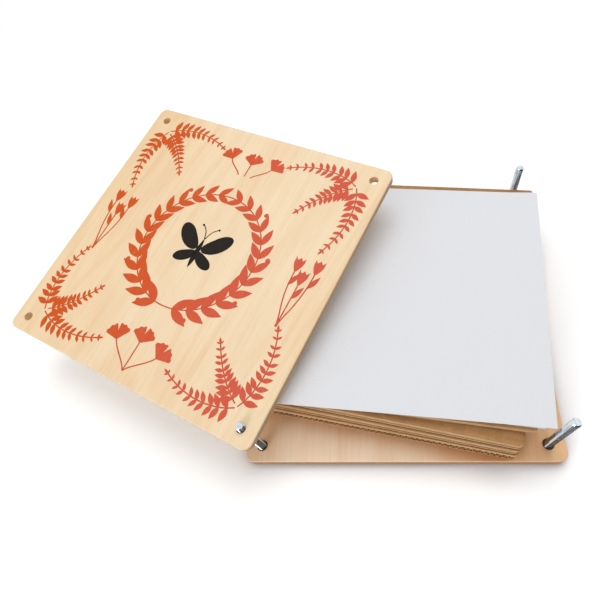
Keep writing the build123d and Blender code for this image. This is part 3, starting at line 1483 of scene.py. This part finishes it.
@dataclass
class CoverPrint:
    """A garland with fern corners, printed in orange on the cover, and a dark moth in its middle."""

    board: BoardFrame
    orange: PrintInk = PrintInk("print_orange", (0.645, 0.09, 0.008), (0.665, 0.105, 0.058), 0.07, 0.06)
    black: PrintInk = PrintInk("print_black", (0.012, 0.009, 0.007), (0.014, 0.011, 0.009), 0.09, 0.01)
    stem_width: float = 0.8
    feeler_width: float = 0.6
    feeler_knob: Flat = (1.5, 1.5)
    moth_body: Flat = (11.0, 22.0)
    moth_foot_y: float = -13.0
    garland_r: float = 40.0
    garland_leaves: int = 13
    garland_start_deg: float = 9.0
    garland_step_deg: float = 13.2
    garland_lean_deg: float = 34.0
    garland_leaf: float = 15.5
    garland_taper: float = 5.0
    garland_breadth: float = 1.1
    berry_every: int = 3
    berry_out: float = 1.16
    berry: Flat = (3.0, 3.0)
    fern_pairs: int = 10
    fern_leaf: float = 9.5
    fern_taper: float = 0.72
    fern_lean_deg: float = 58.0
    fern_breadth: float = 1.25
    fern_tip: Flat = (4.5, 4.0)
    low_fan: Flat = (9.0, 10.0)
    low_fan_lean: float = -1.6
    high_fan: Flat = (8.0, 9.0)
    high_fan_lean: float = -2.0
    bell: Flat = (9.0, 9.5)
    bell_leaf: Flat = (9.0, 10.0)
    bell_leaf_drop: float = 9.0
    bell_leaf_lean_deg: float = -24.0
    bell_root: Flat = (70.0, -25.0)
    bell_root_spread: float = 0.05

    def build(self) -> None:
        """Prints the garland, the corners, the sides and the moth."""
        for make, name, ink in (
            (self.garland, "print_garland", self.orange),
            (self.corners, "print_fern_corners", self.orange),
            (self.sides, "print_side_sprigs", self.orange),
            (self.moth, "print_moth", self.black),
        ):
            plate = PrintPlate(name)
            make(plate)
            piece = plate.pull(self.board)
            dress(piece, ink.material(self.board.place))
            mount(piece, "cover")

    def garland(self, plate: PrintPlate) -> None:
        """Draws a ring with leaves that climb both sides of it.

        Args:
            plate: The plate to draw on.
        """
        plate.ring(self.garland_r, self.stem_width)
        for side in (-1, 1):
            for k in range(self.garland_leaves):
                climb = math.radians(self.garland_start_deg + k * self.garland_step_deg)
                heading = -math.pi / 2 + side * climb
                at = spot(math.cos(heading), math.sin(heading)) * self.garland_r
                along = heading if side > 0 else heading + math.pi
                size = self.garland_leaf - self.garland_taper * k / self.garland_leaves
                for lean in (-1, 1):
                    turn = along + lean * math.radians(self.garland_lean_deg)
                    plate.stamp(Motif.LEAF, at, turn, (size * self.garland_breadth, size))
                if k % self.berry_every == 1:
                    plate.stamp(Motif.BERRY, at * self.berry_out, 0.0, self.berry)

    def corners(self, plate: PrintPlate) -> None:
        """Draws three fern fronds out of each corner.

        Args:
            plate: The plate to draw on.
        """
        fronds = (
            Sprig((72.0, 73.0), (60.0, 80.0), (42.0, 80.0), (27.0, 73.0)),
            Sprig((73.0, 72.0), (80.0, 60.0), (80.0, 42.0), (73.0, 27.0)),
            Sprig((71.0, 71.0), (62.0, 66.0), (54.0, 58.0), (46.0, 46.0)),
        )
        for side in (-1, 1):
            for row in (-1, 1):
                for frond in fronds:
                    self.fern(plate, frond.mirrored(side, row))

    def fern(self, plate: PrintPlate, stem: Sprig) -> None:
        """Draws a frond: a stem with pairs of leaflets that shorten towards its end.

        Args:
            plate: The plate to draw on.
            stem: The frond's stem.
        """
        plate.stem(stem, self.stem_width)
        places = stem.points(self.fern_pairs + 1)
        for k, (at, turn) in enumerate(places[1:], start=1):
            size = self.fern_leaf * (1.0 - self.fern_taper * k / self.fern_pairs)
            for lean in (-1, 1):
                heading = turn + lean * math.radians(self.fern_lean_deg)
                plate.stamp(Motif.LEAF, at, heading, (size * self.fern_breadth, size))
        tip, turn = places[-1]
        plate.stamp(Motif.LEAF, tip, turn, self.fern_tip)

    def sides(self, plate: PrintPlate) -> None:
        """Draws fan leaves at the bottom and the top, and bell flowers at the left and the right.

        Args:
            plate: The plate to draw on.
        """
        for x, low_y, high_y in ((-15.0, -69.0, 66.75), (0.0, -65.0, 66.0), (15.0, -69.0, 66.75)):
            low = Sprig((0.0, -83.0), (x * 0.2, -78.0), (x * 0.7, -75.0), (x, low_y))
            high = Sprig((x * 0.3, 57.0), (x * 0.5, 61.0), (x * 0.9, 63.0), (x, high_y))
            fans = ((low, self.low_fan_lean, self.low_fan), (high, self.high_fan_lean, self.high_fan))
            for stem, lean, size in fans:
                plate.stem(stem, self.stem_width)
                plate.stamp(Motif.FAN, spot(*stem.end), math.radians(lean * x), size)
        root_x, root_y = self.bell_root
        for side in (-1, 1):
            leaf_turn = side * math.radians(self.bell_leaf_lean_deg)
            for x, lean_y, top in ((64.0, -17.0, 9.0), (70.0, -20.0, 2.0), (76.0, -17.0, 11.0)):
                start_x = root_x + self.bell_root_spread * (x - root_x)
                right = Sprig((start_x, root_y), (start_x, lean_y), (x, lean_y + 6.0), (x, top))
                stem = right.mirrored(side, 1)
                plate.stem(stem, self.stem_width)
                plate.stamp(Motif.BELL, spot(*stem.end), 0.0, self.bell)
                leaf_at = spot(side * x, top - self.bell_leaf_drop)
                plate.stamp(Motif.LEAF, leaf_at, leaf_turn, self.bell_leaf)

    def moth(self, plate: PrintPlate) -> None:
        """Draws a moth with open wings.

        Args:
            plate: The plate to draw on.
        """
        for side in (-1, 1):
            for y, turn_deg, across, along in ((1.0, -28.0, 24.0, 20.0), (-1.0, -98.0, 17.0, 14.0)):
                turn = side * math.radians(turn_deg)
                plate.stamp(Motif.WING, spot(side, y), turn, (side * across, along))
            feeler = Sprig((0.4, 8.0), (1.0, 12.0), (3.0, 15.0), (6.0, 16.5)).mirrored(side, 1)
            plate.stem(feeler, self.feeler_width)
            plate.stamp(Motif.BERRY, spot(*feeler.end), 0.0, self.feeler_knob)
        plate.stamp(Motif.LEAF, spot(0.0, self.moth_foot_y), 0.0, self.moth_body)


@dataclass(frozen=True)
class Lamp:
    """A large soft lamp that faces the press: its place, the side of its square face, its power."""

    at: Triple
    side: float
    watts: float


@dataclass
class Studio:
    """The photograph's camera, soft daylight and a white table."""

    camera_at: Triple = (-0.004045, -0.138699, 0.265296)
    camera_turn_deg: Triple = (26.8519, 6.96, 1.2749)
    lens_mm: float = 26.921
    sensor_mm: float = 36.0
    shift: Flat = (-0.0592, 0.0535)
    near: float = 0.005
    daylight: Triple = (0.98, 0.99, 1.0)
    zenith: float = 0.62
    horizon: float = 0.36
    window: Lamp = Lamp((0.08, 0.48, 1.2), 0.9, 7.0)
    reflector: Lamp = Lamp((-0.75, -0.95, 0.38), 0.65, 6.0)
    flag_at: Triple = (0.42, -0.72, 0.62)
    flag_side: float = 2.3
    flag_tone: Triple = (0.02, 0.02, 0.02)
    table_side: float = 6.0
    table_z: float = -0.0002
    table_fade: Flat = (0.32, 0.62)
    table_white: Triple = (1.22, 1.22, 1.22)
    table_matt: Triple = (0.92, 0.92, 0.92)
    # Reach of the painted contact shadow on the table.
    painted_contact_shadow_reach: float = 0.02

    def build(self) -> None:
        """Sets up the camera, the light and the table."""
        bpy.context.scene.view_settings.view_transform = "Standard"
        self.camera()
        for lamp in (self.window, self.reflector):
            self.hang(lamp)
        self.sky()
        self.table()
        self.flag()

    def camera(self) -> None:
        """Puts the camera where the photograph was taken from."""
        deselect_all()
        turn = tuple(math.radians(a) for a in self.camera_turn_deg)
        bpy.ops.object.camera_add(location=self.camera_at, rotation=turn)
        camera = bpy.context.object
        camera.data.lens = self.lens_mm
        camera.data.sensor_width = self.sensor_mm
        camera.data.shift_x, camera.data.shift_y = self.shift
        camera.data.clip_start = self.near
        bpy.context.scene.camera = camera

    def hang(self, lamp: Lamp) -> None:
        """Adds a lamp.

        Args:
            lamp: The lamp.
        """
        deselect_all()
        bpy.ops.object.light_add(type="AREA", location=lamp.at)
        light = bpy.context.object
        light.data.size = lamp.side
        light.data.energy = lamp.watts
        light.rotation_euler = (-Vector(lamp.at)).to_track_quat("-Z", "Y").to_euler()

    def sky(self) -> None:
        """Fills the room with light from overhead, and shows plain white to the camera."""
        world = bpy.data.worlds.new("studio")
        world.use_nodes = True
        bpy.context.scene.world = world
        graph = NodeGraph(world.node_tree)
        fill = graph.tree.nodes["Background"]
        height = graph.axes(graph.add("TexCoord").outputs["Generated"])[2]
        strength = graph.span(height, 0.0, 1.0, self.horizon, self.zenith, "LINEAR")
        graph.feed(fill.inputs["Color"], self.daylight)
        graph.feed(fill.inputs["Strength"], strength)
        white = graph.add("Background")
        graph.feed(white.inputs["Color"], (1.0, 1.0, 1.0))
        self.show_plain(graph, fill.outputs[0], white.outputs[0], "World Output")

    def table(self) -> None:
        """Lays a white table, with the press's soft shadow and a painted contact shadow close around it,
        that runs out into the white background.
        """
        deselect_all()
        bpy.ops.mesh.primitive_plane_add(size=self.table_side, location=(0.0, 0.0, self.table_z))
        table = bpy.context.object
        table.name = "table"
        settle(table)
        graph = MaterialGraph("white_table")
        graph.tree.nodes.remove(graph.shader)
        matt = graph.add("BsdfDiffuse")
        graph.feed(matt.inputs["Color"], self.table_matt)
        # Painted shadow: ambient occlusion darkens the seen white within a short reach of the press.
        painted_contact_shadow = graph.add("AmbientOcclusion")
        graph.feed(painted_contact_shadow.inputs["Color"], self.table_white)
        graph.feed(painted_contact_shadow.inputs["Distance"], self.painted_contact_shadow_reach)
        seen = graph.add("BsdfDiffuse")
        graph.feed(seen.inputs["Color"], painted_contact_shadow.outputs["Color"])
        away = graph.add("VectorMath", operation="LENGTH")
        graph.feed(away.inputs[0], graph.add("TexCoord").outputs["Object"])
        fade = graph.span(away.outputs["Value"], *self.table_fade)
        sweep = graph.mix_shaders(fade, seen.outputs[0], graph.add("Emission").outputs[0])
        self.show_plain(graph, matt.outputs[0], sweep, "Material Output")
        dress(table, graph.material)

    def flag(self) -> None:
        """Hangs a dark card that shows in the steel alone, as the unlit side of the room does."""
        deselect_all()
        facing = (-Vector(self.flag_at)).to_track_quat("Z", "Y").to_euler()
        bpy.ops.mesh.primitive_plane_add(size=self.flag_side, location=self.flag_at, rotation=facing)
        card = bpy.context.object
        card.name = "flag"
        settle(card)
        graph = MaterialGraph("dark_card")
        graph.set(Base_Color=self.flag_tone)
        dress(card, graph.material)
        card.visible_camera = False
        card.visible_diffuse = False
        card.visible_shadow = False

    def show_plain(self, graph: NodeGraph, lit: Socket, plain: Socket, out: str) -> None:
        """Shows one shader to the camera and in mirrors and glass, and lights the scene by another.

        Args:
            graph: The nodes.
            lit: The shader that lights the scene.
            plain: The shader that is seen.
            out: Name of the output node.
        """
        path = graph.add("LightPath")
        share = path.outputs["Is Camera Ray"]
        for ray in ("Is Glossy Ray", "Is Transmission Ray"):
            share = graph.calc("MAXIMUM", share, path.outputs[ray])
        chosen = graph.mix_shaders(share, lit, plain)
        graph.feed(graph.tree.nodes[out].inputs["Surface"], chosen)


def main() -> None:
    """Builds the press's looks and the studio around it."""
    logging.basicConfig(level=logging.INFO, format="%(name)s: %(message)s")
    cover = Boards().build()
    ThreadedBolts().build()
    WingNuts().build()
    FlutedCards().build()
    BlottingSheets().build()
    CoverPrint(cover).build()
    Studio().build()


if __name__ == "__main__":
    main()
